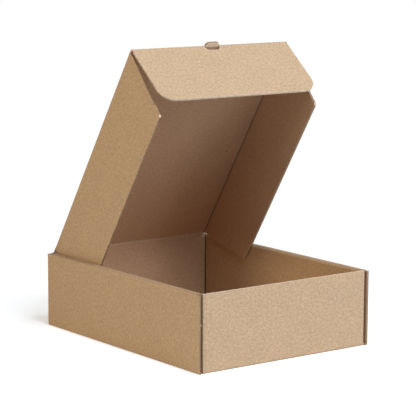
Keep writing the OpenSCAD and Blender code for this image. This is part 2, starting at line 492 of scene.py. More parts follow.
@dataclass
class BoardPiece:
    """The board of one body: a copy of its solid with opened edges and paper on it.

    EDGE_ON, LEANING, TURNED and SQUARE say how far a face's normal points a given way, as the
    cosine of the angle between them.
    """

    node: str
    board: Board
    frame: BoxFrame
    shaders: PaperShaders

    EDGE_ON = 0.1
    LEANING = 0.5
    TURNED = 0.7
    SQUARE = 0.9
    MERGE = 0.005 * MM
    FLAT = math.radians(1)
    SHARP = math.radians(35)
    SINK_TAPER = 0.02 * MM

    def role(self, centre: Vector, normal: Vector) -> Role:
        """What a face shows, from its middle and the way that it faces."""
        raise NotImplementedError

    def flatten(self, point: Vector, centre: Vector, normal: Vector) -> tuple[float, float]:
        """Where a point of a face lies on the blank, in metres."""
        raise NotImplementedError

    def build(self) -> bpy.types.Object:
        """Copies the solid, opens its cut edges, maps it to the blank and dresses it.

        Returns:
            The piece, which rides on its body and replaces its solid.
        """
        mesh = bpy.data.objects[self.node].data.copy()
        mesh.name = f"{self.node}_board"
        self.shaders.dress(mesh)
        shape = bmesh.new()
        shape.from_mesh(mesh)
        bmesh.ops.remove_doubles(shape, verts=shape.verts, dist=self.MERGE)
        bmesh.ops.dissolve_limit(shape, angle_limit=self.FLAT, verts=shape.verts, edges=shape.edges)
        self._reshape(shape)
        shape.normal_update()
        for face in shape.faces:
            face.material_index = self.role(face.calc_center_median(), face.normal).value
        self._open_edges(shape)
        self._map_blank(shape)
        for face in shape.faces:
            face.smooth = True
        shape.to_mesh(mesh)
        shape.free()
        mesh.set_sharp_from_angle(angle=self.SHARP)
        piece = add_object(f"{self.node}_board", mesh)
        weighted = piece.modifiers.new("even_normals", "WEIGHTED_NORMAL")
        weighted.keep_sharp = True
        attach(piece, self.node)
        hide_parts(self.node)
        return piece

    def _reshape(self, shape: bmesh.types.BMesh) -> None:
        """Wear of the board's form. A plain piece has none."""

    def _open_edges(self, shape: bmesh.types.BMesh) -> None:
        """Sinks the cut faces between the two liners.

        Args:
            shape: the board's mesh, with each cut face marked.
        """
        cut = [f for f in shape.faces if f.material_index in (Role.CUT.value, Role.OPEN.value)]
        if not cut:
            return
        for thickness, depth in ((self.board.liner, 0.0), (self.SINK_TAPER, -self.board.edge_depth)):
            bmesh.ops.inset_region(
                shape,
                faces=cut,
                use_boundary=True,
                use_even_offset=True,
                use_interpolate=False,
                thickness=thickness,
                depth=depth,
            )

    def _map_blank(self, shape: bmesh.types.BMesh) -> None:
        """Writes where each corner lies on the blank.

        Args:
            shape: the board's mesh.
        """
        layer = shape.loops.layers.uv.new("blank")
        for face in shape.faces:
            centre, normal = face.calc_center_median(), face.normal
            for loop in face.loops:
                loop[layer].uv = self.flatten(loop.vert.co, centre, normal)


@dataclass
class TrayBoard(BoardPiece):
    """The tray: base, front and back walls, rolled side walls and their ears.

    Sizes are in metres. The faces hidden in a rolled wall lie between skin and roll_depth in
    from its outside. The base is below middle, the rims are above it, and the outer panels'
    tops are above upper.
    """

    roll: float = 10.0 * MM
    rim_end: float = 171.0 * MM
    ear_fold: tuple[float, float] = (133.3 * MM, 171.9 * MM)
    fold_radii: tuple[float, float] = (0.3 * MM, 3.1 * MM)
    crushed: float = 1.5 * MM
    crush_run: float = 5.0 * MM
    end_rise: float = 2.6 * MM
    # How far the painted shade reaches in past the inner side panel.
    shade: float = 0.9 * MM
    upper: float = 90.0 * MM
    middle: float = 50.0 * MM
    skin: float = 0.5 * MM
    roll_depth: float = 8.5 * MM
    roll_mouth: float = 2.0 * MM
    tab_end: float = 0.5 * MM

    WALL_TOP = 0.6
    WALL_END = 0.8
    SLACK = 0.05 * MM
    SHAPE_SLACK = 0.02 * MM

    def _reshape(self, shape: bmesh.types.BMesh) -> None:
        """Crushes the upright folds of the ears, so that a seam opens beside each outer panel.

        The outer panels' ends stand up a little past the bend of the rim.

        Args:
            shape: the tray's mesh.
        """
        fold_x, fold_y = self.ear_fold
        inner, outer = self.fold_radii
        # The second cut bounds the strip of painted shade behind each inner side panel.
        for x in (fold_x - self.crush_run, self.frame.half_width - self.roll - self.shade):
            for side in (-1, 1):
                split_faces(shape, RIGHT * (side * x), RIGHT)
        slack = self.SHAPE_SLACK
        panel_x = self.frame.half_width - self.board.thickness - slack
        panel_top = self.frame.height - outer - slack
        for vert in shape.verts:
            on_end = abs(vert.co.x) > panel_x and abs(vert.co.y) > self.frame.half_depth - slack
            if on_end and vert.co.z > panel_top:
                vert.co.z += self.end_rise
                continue
            x, y = abs(vert.co.x) - fold_x, abs(vert.co.y) - fold_y
            radius = math.hypot(x, y)
            if x < -slack or y < -slack or radius > outer + slack or vert.co.z < outer + slack:
                continue
            kept = inner + (radius - inner) * self.crushed / (outer - inner)
            shrink = kept / radius if radius > slack else 1.0
            vert.co.x = math.copysign(fold_x + x * shrink, vert.co.x)
            vert.co.y = math.copysign(fold_y + y * shrink, vert.co.y)

    def role(self, centre: Vector, normal: Vector) -> Role:
        """Raw edges are the wall tops, the rolls' ends and the locking tabs' ends.

        Args:
            centre: the middle of the face.
            normal: the way that it faces.

        Returns:
            The part of the board that shows there.
        """
        if self._panel_end(centre, normal):
            return Role.OPEN
        if self._raw(centre, normal):
            return Role.CUT
        # Painted shade: seam faces and the strip behind each roll are coloured dark.
        if self._on_ear_fold(centre):
            return Role.PINCH
        if self._behind_roll(centre, normal):
            return Role.PINCH
        # Painted shade: the rims' tops are coloured darker than the walls.
        if normal.z > self.LEANING and centre.z > self.frame.height - self.board.thickness:
            return Role.SHADED_RIM
        return Role.INSIDE if self._inside(centre, normal) else Role.OUTSIDE

    def _panel_end(self, centre: Vector, normal: Vector) -> bool:
        """Whether a face is the open end of an outer side panel or of a roll.

        Args:
            centre: the middle of the face.
            normal: the way that it faces.

        Returns:
            True for an open end.
        """
        box = self.frame
        x, y, z = abs(centre.x), abs(centre.y), centre.z
        if abs(normal.y) < self.SQUARE or z < self.fold_radii[1]:
            return False
        panel_end = y > box.half_depth - self.SLACK and x > box.half_width - self.board.thickness
        roll_end = abs(y - self.rim_end) < self.SLACK and z > box.height / 2
        return panel_end or roll_end

    def _on_ear_fold(self, centre: Vector) -> bool:
        """Whether a face lies on the outside of an ear's crushed fold, in the seam that gets painted shade.
        """
        x, y = abs(centre.x) - self.ear_fold[0], abs(centre.y) - self.ear_fold[1]
        return x > 0 and y > 0 and math.hypot(x, y) > self.crushed and centre.z > self.fold_radii[1]

    def _behind_roll(self, centre: Vector, normal: Vector) -> bool:
        """Whether a face is the end of a wall's inside behind the inner side panel, which gets painted
        shade.

        Args:
            centre: the middle of the face.
            normal: the way that it faces.

        Returns:
            True for a face that gets painted shade.
        """
        x, y = abs(centre.x), abs(centre.y)
        hidden = self.frame.half_width - self.roll - self.shade < x < self.ear_fold[0]
        behind = self.rim_end < y < self.frame.half_depth - self.roll_mouth
        return hidden and behind and abs(normal.y) > self.WALL_END

    def _raw(self, centre: Vector, normal: Vector) -> bool:
        """Whether a face is a raw edge of the front wall, a panel's top or a tab.

        Args:
            centre: the middle of the face.
            normal: the way that it faces.

        Returns:
            True for a raw edge.
        """
        t = self.board.thickness
        box = self.frame
        x, y, z = abs(centre.x), abs(centre.y), centre.z
        in_front_wall = centre.y < -box.half_depth + t
        wall_top = in_front_wall and normal.z > self.WALL_TOP and x < box.half_width - 2 * t
        on_panel = x > box.half_width - t and self.rim_end < y and z > self.upper
        panel_top = on_panel and normal.z > self.LEANING
        tab_end = normal.z < -self.SQUARE and abs(z - self.tab_end) < self.SLACK
        return wall_top or panel_top or tab_end

    def _inside(self, centre: Vector, normal: Vector) -> bool:
        """Whether a face shows the liner that ends up inside the folded tray.

        Args:
            centre: the middle of the face.
            normal: the way that it faces.

        Returns:
            True for the inside liner.
        """
        box = self.frame
        x, y = abs(centre.x), abs(centre.y)
        if normal.z > self.TURNED:
            return centre.z < self.middle
        if abs(normal.y) > self.TURNED:
            return y < box.half_depth - self.board.half
        in_roll = box.half_width - self.roll_depth <= x < box.half_width - self.skin
        return in_roll and abs(normal.x) > self.LEANING

    def flatten(self, point: Vector, centre: Vector, normal: Vector) -> tuple[float, float]:
        """Unfolds the walls outwards from the base, and the rolls outwards from the walls.

        Args:
            point: a corner of a face.
            centre: the middle of that face.
            normal: the way that it faces.

        Returns:
            The place on the flat sheet, in metres.
        """
        box = self.frame
        side = math.copysign(1.0, centre.x)
        x = abs(point.x)
        if abs(normal.x) > self.TURNED:
            if x > box.half_width - 1.5 * self.board.thickness:
                return side * (box.half_width + point.z), point.y
            return side * (box.half_width + 2 * box.height + self.roll - point.z), point.y
        if abs(normal.y) > self.TURNED:
            end = math.copysign(1.0, centre.y)
            return point.x, end * (box.half_depth + point.z)
        if centre.z > self.middle:
            return side * (2 * box.half_width + box.height - x), point.y
        return point.x, point.y


@dataclass
class LidBoard(BoardPiece):
    """The lid panel with its thumb tab."""

    thumb_root: float = 0.5 * MM

    ROUND_FOLD = 0.2

    def _reshape(self, shape: bmesh.types.BMesh) -> None:
        """Parts the thumb tab's faces from the lid's, so that the tab's inside can take painted light: a
        pale tone in place of light falling on it.
        """
        root = self.frame.lid_point(0, self.frame.lid_length + self.thumb_root, 0)
        split_faces(shape, root, self.frame.along)

    def role(self, centre: Vector, normal: Vector) -> Role:
        """The thumb tab's outline is the lid's only raw edge that shows.

        Args:
            centre: the middle of the face.
            normal: the way that it faces.

        Returns:
            The part of the board that shows there.
        """
        out = centre - self.frame.hinge
        s = out.dot(self.frame.along)
        facing = normal.dot(self.frame.inward)
        if abs(facing) < self.EDGE_ON and s > self.frame.lid_length + self.board.half:
            return Role.OPEN
        # Painted light: the tab's inside face is coloured pale.
        if facing > self.SQUARE and s > self.frame.lid_length + self.thumb_root:
            return Role.THUMB
        return Role.INSIDE if facing > self.ROUND_FOLD else Role.OUTSIDE

    def flatten(self, point: Vector, centre: Vector, normal: Vector) -> tuple[float, float]:
        """The lid lies behind the back wall on the blank."""
        s = (point - self.frame.hinge).dot(self.frame.along)
        return point.x, self.frame.half_depth + self.frame.height + s


@dataclass
class FrontFlapBoard(BoardPiece):
    """The flap that tucks in behind the front wall."""

    # Width of the painted highlight along the edge of the outer face.
    painted_highlight_band: float = 0.45 * MM

    def role(self, centre: Vector, normal: Vector) -> Role:
        """The whole outline is a raw edge.

        Args:
            centre: the middle of the face.
            normal: the way that it faces.

        Returns:
            The part of the board that shows there.
        """
        turned = normal.dot(self.frame.facing)
        if abs(turned) < self.EDGE_ON:
            return Role.CUT
        return Role.INSIDE if turned > 0 else Role.OUTSIDE

    def _open_edges(self, shape: bmesh.types.BMesh) -> None:
        """Opens the cut edges, and gives the band of outer face beside them a painted highlight in the pale
        cut-edge tone.

        Args:
            shape: the flap's mesh, with each cut face marked.
        """
        super()._open_edges(shape)
        outer = [f for f in shape.faces if f.material_index == Role.OUTSIDE.value]
        line = bmesh.ops.inset_region(
            shape, faces=outer, use_boundary=True, use_even_offset=True, thickness=self.painted_highlight_band, depth=0.0
        )
        # Painted highlight: the band beside the cut edges takes the pale cut-edge colour.
        for face in line["faces"]:
            face.material_index = Role.CUT.value

    def flatten(self, point: Vector, centre: Vector, normal: Vector) -> tuple[float, float]:
        """The flap lies beyond the lid on the blank.

        Args:
            point: a corner of a face.
            centre: the middle of that face.
            normal: the way that it faces.

        Returns:
            The place on the flat sheet, in metres.
        """
        box = self.frame
        drop = (point - box.lid_point(0, box.lid_length, 0)).dot(box.down)
        return point.x, box.half_depth + box.height + box.lid_length + drop


@dataclass
class SideFlapBoard(BoardPiece):
    """A flap at one side of the lid."""

    side: float = 1.0

    CORNER_FROM, CORNER_TO = 0.4, 0.98

    def role(self, centre: Vector, normal: Vector) -> Role:
        """The whole outline is a raw edge. Its corner faces take the pale cut-edge tone as painted
        highlight, and the rest the darker open-edge tone.

        Args:
            centre: the middle of the face.
            normal: the way that it faces.

        Returns:
            The part of the board that shows there.
        """
        turned = -self.side * normal.x
        if abs(turned) < self.EDGE_ON:
            # Painted highlight on the corner faces; the rest of the edge stays the open-edge tone.
            corner = self.CORNER_FROM < normal.dot(self.frame.inward) < self.CORNER_TO
            return Role.CUT if corner else Role.OPEN
        return Role.INSIDE if turned > 0 else Role.OUTSIDE

    def flatten(self, point: Vector, centre: Vector, normal: Vector) -> tuple[float, float]:
        """The flap lies beside the lid on the blank.

        Args:
            point: a corner of a face.
            centre: the middle of that face.
            normal: the way that it faces.

        Returns:
            The place on the flat sheet, in metres.
        """
        box = self.frame
        out = point - box.hinge
        drop, s = out.dot(box.inward), out.dot(box.along)
        return self.side * (box.fold_x + drop), box.half_depth + box.height + s


@dataclass(frozen=True)
class Crease:
    """A fold between two bodies at rest, seen along its axis.

    First and second point from the axis into the two boards, and the outward normals stand
    on their outsides. Ends are the places along the axis where the fold starts and stops.
    """

    name: str
    bodies: tuple[str, str]
    origin: Vector
    axis: Vector
    first: Vector
    first_out: Vector
    second: Vector
    second_out: Vector
    ends: tuple[tuple[float, float], ...]
    slope: float = 0.0

    @property
    def turn(self) -> float:
        """Angle of the fold, from flat."""
        return self.first_out.angle(self.second_out)


class CreaseLiner:
    """Lays thin liners over a crease: one round its outside and one in its inside corner."""

    PROUD = 0.06 * MM
    BURIED = 0.12 * MM
    FADE = 0.7 * MM
    STEPS = 10
    LEAD_TUCK = 0.7
    SAME_WAY = 0.001
    SHARP = math.radians(40)

    def __init__(
        self, board: Board, shaders: PaperShaders, reach: float = 4.5 * MM, fillet: float = 1.3 * MM
    ) -> None:
        """Keeps the board's make-up and the papers.

        Args:
            board: the board's make-up.
            shaders: the papers.
            reach: how far a liner runs onto each board.
            fillet: radius of a liner in an inside corner.
        """
        self.board = board
        self.shaders = shaders
        self.reach = reach
        self.fillet = fillet

    def _arc(self, crease: Crease, start: Vector, share: float) -> Vector:
        """Turns a normal of the first board towards the second by a share of the fold's angle."""
        sense = 1.0 if crease.first_out.cross(crease.second_out).dot(crease.axis) > 0 else -1.0
        return Matrix.Rotation(sense * share * crease.turn, 3, crease.axis) @ start

    def outer(self, crease: Crease, lead: float = 0.0) -> Profile:
        """Profile round the outside.

        Args:
            crease: the fold.
            lead: share of the arc that is left bare at its start.

        Returns:
            Points off the axis, each with the direction that it faces.
        """
        half = self.board.half
        profile = []
        if lead == 0.0:
            for along, rise in ((self.reach + self.FADE, -self.PROUD), (self.reach, self.PROUD)):
                profile.append((crease.first * along + crease.first_out * (half + rise), crease.first_out))
        else:
            normal = self._arc(crease, crease.first_out, self.LEAD_TUCK * lead)
            profile.append((normal * (half - self.PROUD), normal))
        for step in range(self.STEPS + 1):
            normal = self._arc(crease, crease.first_out, lead + (1.0 - lead) * step / self.STEPS)
            profile.append((normal * (half + self.PROUD), normal))
        for along, rise in ((self.reach, self.PROUD), (self.reach + self.FADE, -self.PROUD)):
            profile.append((crease.second * along + crease.second_out * (half + rise), crease.second_out))
        return profile

    def inner(self, crease: Crease) -> Profile:
        """Profile in the inside corner, with a small round.

        Args:
            crease: the fold.

        Returns:
            Points off the axis, each with the direction that it faces.
        """
        half = self.board.half
        first_in, second_in = -crease.first_out, -crease.second_out
        centre = (first_in + second_in) * ((half + self.fillet) / (1.0 + first_in.dot(second_in)))
        profile = []
        for along, rise in ((self.reach + self.FADE, -self.PROUD), (self.reach, self.PROUD)):
            profile.append((crease.first * along + first_in * (half + rise), first_in))
        for step in range(self.STEPS + 1):
            normal = self._arc(crease, first_in, step / self.STEPS)
            profile.append((centre - normal * (self.fillet - self.PROUD), normal))
        for along, rise in ((self.reach, self.PROUD), (self.reach + self.FADE, -self.PROUD)):
            profile.append((crease.second * along + second_in * (half + rise), second_in))
        return profile

    def lay(self, crease: Crease, place: str, profile: Profile, finish: KraftFinish) -> None:
        """Makes the strips of one profile, one for each stretch of the fold.

        Args:
            crease: the fold.
            place: outside or inside, for the name.
            profile: what outer or inner returned.
            finish: the strip's paper.
        """
        for number, ends in enumerate(crease.ends):
            strip = self._strip(f"{crease.name}_{place}_liner_{number}", crease, profile, ends, finish)
            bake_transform(strip)

    def _ring(
        self,
        shape: bmesh.types.BMesh,
        places: dict[bmesh.types.BMVert, tuple[float, float]],
        crease: Crease,
        profile: Profile,
        at: float,
        toward: float,
    ) -> list[bmesh.types.BMVert]:
        """Makes the ring of corners at one end of a strip.

        Args:
            shape: the strip's mesh.
            places: gets each corner's place on the paper.
            crease: the fold.
            profile: what outer or inner returned.
            at: where the strip ends along the axis.
            toward: 1 or -1, the way along the axis from this end into the strip.

        Returns:
            The corners, over the strip and back under it.
        """
        top, under = [], []
        run = 0.0
        last = profile[0][0]
        for point, normal in profile:
            run += (point - last).length
            last = point
            drawn_in = toward * crease.slope * max(0.0, point.dot(crease.second))
            base = crease.origin + crease.axis * (at + drawn_in) + point
            for row, spot in ((top, base), (under, base - normal * self.BURIED)):
                vert = shape.verts.new(spot)
                places[vert] = (at + drawn_in, run)
                row.append(vert)
        return top + under[::-1]

    def _strip(
        self,
        name: str,
        crease: Crease,
        profile: Profile,
        ends: tuple[float, float],
        finish: KraftFinish,
    ) -> bpy.types.Object:
        """Makes one closed strip along the fold.

        Args:
            name: the strip's name.
            crease: the fold.
            profile: what outer or inner returned.
            ends: where the strip starts and stops along the axis.
            finish: its paper.

        Returns:
            The strip.
        """
        shape = bmesh.new()
        layer = shape.loops.layers.uv.new("blank")
        places = {}
        rings = [
            self._ring(shape, places, crease, profile, at, toward)
            for at, toward in ((ends[0], 1.0), (ends[1], -1.0))
        ]
        size = len(rings[0])
        for i in range(size):
            j = (i + 1) % size
            shape.faces.new((rings[0][i], rings[0][j], rings[1][j], rings[1][i]))
        for ring in rings:
            for i in range(len(profile) - 1):
                shape.faces.new((ring[i], ring[i + 1], ring[size - 2 - i], ring[size - 1 - i]))
        bmesh.ops.recalc_face_normals(shape, faces=shape.faces)
        for face in shape.faces:
            face.smooth = True
            for loop in face.loops:
                loop[layer].uv = places[loop.vert]
        mesh = bpy.data.meshes.new(name)
        shape.to_mesh(mesh)
        shape.free()
        mesh.set_sharp_from_angle(angle=self.SHARP)
        mesh.materials.append(self.shaders.material(finish))
        return add_object(name, mesh)


@dataclass(frozen=True)
class Creases:
    """The box's four hinging folds."""

    frame: BoxFrame
    flap_setback: float = 2.5 * MM
    flap_slope: float = 0.304
    hinge_end: float = 129.3 * MM
    nub_end: float = 131.4 * MM
    front_end: float = 127.3 * MM
    thumb_half: float = 11.8 * MM
    short_reach: float = 1.6 * MM
    thin_reach: float = 0.2 * MM
    thin_fillet: float = 0.5 * MM
    bare_share: float = 0.52

    def hinge(self, name: str, ends: tuple[tuple[float, float], ...]) -> Crease:
        """The fold between the back wall and the lid.

        Args:
            name: the fold's name.
            ends: the stretches that it has along the hinge.

        Returns:
            The fold.
        """
        box = self.frame
        return Crease(
            name=name,
            bodies=("tray", "lid"),
            origin=box.hinge,
            axis=RIGHT,
            first=-UP,
            first_out=BACK,
            second=box.along,
            second_out=-box.inward,
            ends=ends,
        )

    def front(self) -> Crease:
        """The fold between the lid and the front flap, with the thumb tab's place left free.

        Returns:
            The fold.
        """
        box = self.frame
        return Crease(
            name="front_fold",
            bodies=("lid", "front_flap"),
            origin=box.lid_point(0, box.lid_length, 0),
            axis=RIGHT,
            first=-box.along,
            first_out=-box.inward,
            second=box.down,
            second_out=-box.facing,
            ends=((-self.front_end, -self.thumb_half), (self.thumb_half, self.front_end)),
        )

    def side(self, name: str, side: float) -> Crease:
        """The fold between the lid and the flap at one side.

        Args:
            name: the flap's name.
            side: -1 for the left and 1 for the right.

        Returns:
            The fold.
        """
        box = self.frame
        return Crease(
            name=f"{name}_fold",
            bodies=("lid", name),
            origin=box.lid_point(side * box.fold_x, 0, 0),
            axis=box.along,
            first=-RIGHT * side,
            first_out=-box.inward,
            second=box.inward,
            second_out=RIGHT * side,
            ends=((self.flap_setback, box.lid_length - self.flap_setback),),
            slope=self.flap_slope,
        )

    def lay(self, board: Board, shaders: PaperShaders) -> None:
        """Lays the liners of all four folds, and the crushed nubs at the hinge's ends.

        Args:
            board: the board's make-up.
            shaders: the papers.
        """
        liner = CreaseLiner(board, shaders)
        short = CreaseLiner(board, shaders, reach=self.short_reach)
        thin = CreaseLiner(board, shaders, reach=self.thin_reach, fillet=self.thin_fillet)
        hinge = self.hinge("hinge", ((-self.hinge_end, self.hinge_end),))
        liner.lay(hinge, "outside", liner.outer(hinge, lead=self.bare_share), OUTSIDE_KRAFT)
        short.lay(hinge, "inside", short.inner(hinge), CREASE_KRAFT)
        nubs = self.hinge("hinge_nub", ((-self.nub_end, -self.hinge_end), (self.hinge_end, self.nub_end)))
        short.lay(nubs, "inside", short.inner(nubs), CREASE_KRAFT)
        front = self.front()
        liner.lay(front, "outside", liner.outer(front), OUTSIDE_KRAFT)
        short.lay(front, "inside", short.inner(front), INSIDE_KRAFT)
        for crease in (self.side("left_flap", -1.0), self.side("right_flap", 1.0)):
            liner.lay(crease, "outside", liner.outer(crease), OUTSIDE_KRAFT)
            # Painted shade: the side folds' inside liners are coloured dark brown.
            thin.lay(crease, "inside", thin.inner(crease), FOLD_SHADE_KRAFT)


@dataclass(frozen=True)
class CutEdge:
    """A raw edge that is cut across the flutes, from start to end in the middle of the board."""

    body: str
    start: Vector
    end: Vector
    across: Vector
    inward: Vector


class FluteRibbons:
    """Stands the fluted layer in raw edges, with geometry nodes."""

    STEPS = 12
    COVER = 0.08 * MM

    def __init__(self, board: Board, shaders: PaperShaders) -> None:
        """Builds the node tree once.

        Args:
            board: the board's make-up.
            shaders: the papers.
        """
        self.board = board
        self.paper = shaders.material(FLUTE_KRAFT)
        self.tree = self._tree()

    def _add_sockets(self, face: bpy.types.NodeTreeInterface) -> None:
        """Gives the ribbon tree its inputs and its output.

        Args:
            face: the tree's interface.
        """
        face.new_socket("Guide", in_out="INPUT", socket_type="NodeSocketGeometry")
        for name in ("Pitch", "Swing", "Thickness", "Depth"):
            face.new_socket(name, in_out="INPUT", socket_type="NodeSocketFloat")
        face.new_socket("Steps", in_out="INPUT", socket_type="NodeSocketInt")
        face.new_socket("Paper", in_out="INPUT", socket_type="NodeSocketMaterial")
        face.new_socket("Ribbon", in_out="OUTPUT", socket_type="NodeSocketGeometry")

    def _tree(self) -> bpy.types.NodeTree:
        """Builds the tree that turns guide lines into a waving ribbon.

        Returns:
            The tree. Its guide has the vector attributes across and inward.
        """
        tree = bpy.data.node_groups.new("flute_ribbon", "GeometryNodeTree")
        self._add_sockets(tree.interface)
        sheet = NodeSheet(tree)
        given = sheet.add("NodeGroupInput").outputs
        line = sheet.add("GeometryNodeMeshToCurve", Mesh=given["Guide"]).outputs[0]
        step = sheet.math("DIVIDE", given["Pitch"], given["Steps"])
        by_length = {"mode": "LENGTH"}
        line = sheet.add("GeometryNodeResampleCurve", by_length, Curve=line, Length=step).outputs[0]
        vector = {"data_type": "FLOAT_VECTOR"}
        named = "GeometryNodeInputNamedAttribute"
        across = sheet.add(named, vector, Name="across").outputs[0]
        inward = sheet.add(named, vector, Name="inward").outputs[0]
        length = sheet.add("GeometryNodeSplineParameter").outputs["Length"]
        turns = sheet.math("DIVIDE", length, given["Pitch"])
        wave = sheet.math("SINE", sheet.math("MULTIPLY", turns, 2 * math.pi))
        swing = sheet.math("MULTIPLY", wave, given["Swing"])
        scaled = {"operation": "SCALE"}
        aside = sheet.add("ShaderNodeVectorMath", scaled, i0=across, Scale=swing).outputs[0]
        line = sheet.add("GeometryNodeSetPosition", Geometry=line, Offset=aside).outputs[0]
        free = {"mode": "FREE"}
        line = sheet.add("GeometryNodeSetCurveNormal", free, Curve=line, Normal=inward).outputs[0]
        profile = sheet.add(
            "GeometryNodeCurvePrimitiveQuadrilateral", Width=given["Depth"], Height=given["Thickness"]
        ).outputs[0]
        ribbon = sheet.add("GeometryNodeCurveToMesh", i0=line, i1=profile, Fill_Caps=True).outputs[0]
        ribbon = sheet.add("GeometryNodeRealizeInstances", Geometry=ribbon).outputs[0]
        ribbon = sheet.add("GeometryNodeSetMaterial", Geometry=ribbon, Material=given["Paper"]).outputs[0]
        sheet.add("NodeGroupOutput", Ribbon=ribbon)
        return tree

    def _guide(self, body: str, edges: list[CutEdge]) -> bpy.types.Mesh:
        """Makes a line along the middle of each sunk edge.

        Args:
            body: the body's name.
            edges: its edges that are cut across the flutes.

        Returns:
            The lines, with the vector attributes across and inward.
        """
        guide = bpy.data.meshes.new(f"{body}_flute_guide")
        points, lines = [], []
        for edge in edges:
            sunk = edge.inward * (self.board.edge_depth / 2)
            lines.append((len(points), len(points) + 1))
            points += [edge.start + sunk, edge.end + sunk]
        guide.from_pydata(points, lines, [])
        for name in ("across", "inward"):
            layer = guide.attributes.new(name, "FLOAT_VECTOR", "POINT")
            for i, edge in enumerate(edges):
                for corner in lines[i]:
                    layer.data[corner].vector = getattr(edge, name)
        return guide

    def build(self, body: str, edges: list[CutEdge]) -> bpy.types.Object:
        """Bakes the ribbons of one body's edges into a plain mesh that rides on the body.

        Args:
            body: the body's name.
            edges: its edges that are cut across the flutes.

        Returns:
            The ribbons.
        """
        guide = self._guide(body, edges)
        holder = add_object(f"{body}_flute_guide", guide)
        nodes = holder.modifiers.new("flutes", "NODES")
        nodes.node_group = self.tree
        values = {
            "Pitch": self.board.flute_pitch,
            "Swing": self.board.flute_swing,
            "Thickness": self.board.medium,
            "Depth": self.board.edge_depth - self.COVER,
            "Steps": self.STEPS,
            "Paper": self.paper,
        }
        for item in self.tree.interface.items_tree:
            if item.name in values and item.in_out == "INPUT":
                nodes[item.identifier] = values[item.name]
        graph = bpy.context.evaluated_depsgraph_get()
        mesh = bpy.data.meshes.new_from_object(holder.evaluated_get(graph))
        mesh.name = f"{body}_flutes"
        bpy.data.objects.remove(holder)
        bpy.data.meshes.remove(guide)
        ribbons = add_object(f"{body}_flutes", mesh)
        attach(ribbons, body)
        return ribbons


@dataclass(frozen=True)
class FluteEdges:
    """Where the blank was cut across its flutes, which run from side to side."""

    frame: BoxFrame
    board: Board
    flap_inset: float = 2.0 * MM
    flap_corner: float = 23.0 * MM
    side_drop: float = 96.5 * MM
    side_end: float = 37.0 * MM
    tab_place: float = 84.0 * MM
    tab_half: float = 21.0 * MM
    tab_end: float = 0.5 * MM
    tab_x: float = 131.4 * MM

    def front_flap(self) -> list[CutEdge]:
        """The front flap's two sides, down to its round corners.

        Returns:
            The edges.
        """
        box = self.frame
        fold = box.lid_point(0, box.lid_length, 0)
        x = box.fold_x + self.board.half - self.flap_inset
        root, end = 3 * self.board.thickness, box.flap_drop - self.flap_corner
        return [
            CutEdge(
                "front_flap",
                fold + RIGHT * (side * x) + box.down * root,
                fold + RIGHT * (side * x) + box.down * end,
                box.facing,
                -RIGHT * side,
            )
            for side in (-1, 1)
        ]

    def side_flap(self, name: str, side: float) -> list[CutEdge]:
        """The free edge of one side flap.

        Args:
            name: the flap's name.
            side: -1 for the left and 1 for the right.

        Returns:
            The edge, in a list of its own.
        """
        box = self.frame
        start = box.lid_point(side * box.fold_x, self.side_end, self.side_drop)
        end = box.lid_point(side * box.fold_x, box.lid_length - self.side_end, self.side_drop)
        return [CutEdge(name, start, end, RIGHT, -box.inward)]

    def tray(self) -> list[CutEdge]:
        """The ends of the locking tabs, seen from below.

        Returns:
            The edges.
        """
        return [
            CutEdge(
                "tray",
                Vector((side * self.tab_x, place - self.tab_half, self.tab_end)),
                Vector((side * self.tab_x, place + self.tab_half, self.tab_end)),
                RIGHT,
                UP,
            )
            for side in (-1, 1)
            for place in (-self.tab_place, self.tab_place)
        ]

    def build(self, ribbons: FluteRibbons) -> None:
        """Builds the ribbons of every body.

        Args:
            ribbons: the builder of ribbons.
        """
        ribbons.build("tray", self.tray())
        ribbons.build("front_flap", self.front_flap())
        ribbons.build("left_flap", self.side_flap("left_flap", -1.0))
        ribbons.build("right_flap", self.side_flap("right_flap", 1.0))


@dataclass(frozen=True)
class Nick:
    """A tuft of fibres where one of the die's holding points tore.

    The tuft grows from its place in the direction out, and is as wide as given along its edge.
    """

    place: Vector
    along: Vector
    out: Vector
    facing: Vector
    width: float
    length: float


class TornNicks:
    """Models the torn tufts as small closed plates with a ragged end."""

    TIPS = (0.45, 1.0, 0.6, 0.85, 0.35)
    ROOT = 0.3 * MM
    THICKNESS = 0.25 * MM

    def __init__(self, shaders: PaperShaders) -> None:
        """Keeps the papers."""
        self.shaders = shaders

    def build(self, body: str, nicks: list[Nick], finish: KraftFinish) -> bpy.types.Object:
        """Makes one body's tufts, which ride on it.

        Args:
            body: the body's name.
            nicks: its tufts.
            finish: their paper.

        Returns:
            The tufts.
        """
        shape = bmesh.new()
        layer = shape.loops.layers.uv.new("blank")
        for nick in nicks:
            self._tuft(shape, nick)
        bmesh.ops.recalc_face_normals(shape, faces=shape.faces)
        for face in shape.faces:
            for loop in face.loops:
                loop[layer].uv = (loop.vert.co.x, loop.vert.co.z)
        mesh = bpy.data.meshes.new(f"{body}_nicks")
        shape.to_mesh(mesh)
        shape.free()
        mesh.materials.append(self.shaders.material(finish))
        piece = add_object(f"{body}_nicks", mesh)
        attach(piece, body)
        return piece

    def _tuft(self, shape: bmesh.types.BMesh, nick: Nick) -> None:
        """Adds one closed plate.

        Args:
            shape: the mesh that it goes into.
            nick: the tuft.
        """
        last = len(self.TIPS) - 1
        root = nick.out * self.ROOT
        outline = [nick.along * nick.width - root, -nick.along * nick.width - root]
        for i, tip in enumerate(self.TIPS):
            outline.append(nick.along * (nick.width * (2 * i / last - 1)) + nick.out * (nick.length * tip))
        rows = []
        for sign in (1, -1):
            offset = nick.place + nick.facing * (sign * self.THICKNESS / 2)
            rows.append([shape.verts.new(offset + point) for point in outline])
        size = len(outline)
        shape.faces.new(rows[0])
        shape.faces.new(rows[1][::-1])
        for i in range(size):
            j = (i + 1) % size
            shape.faces.new((rows[0][j], rows[0][i], rows[1][i], rows[1][j]))


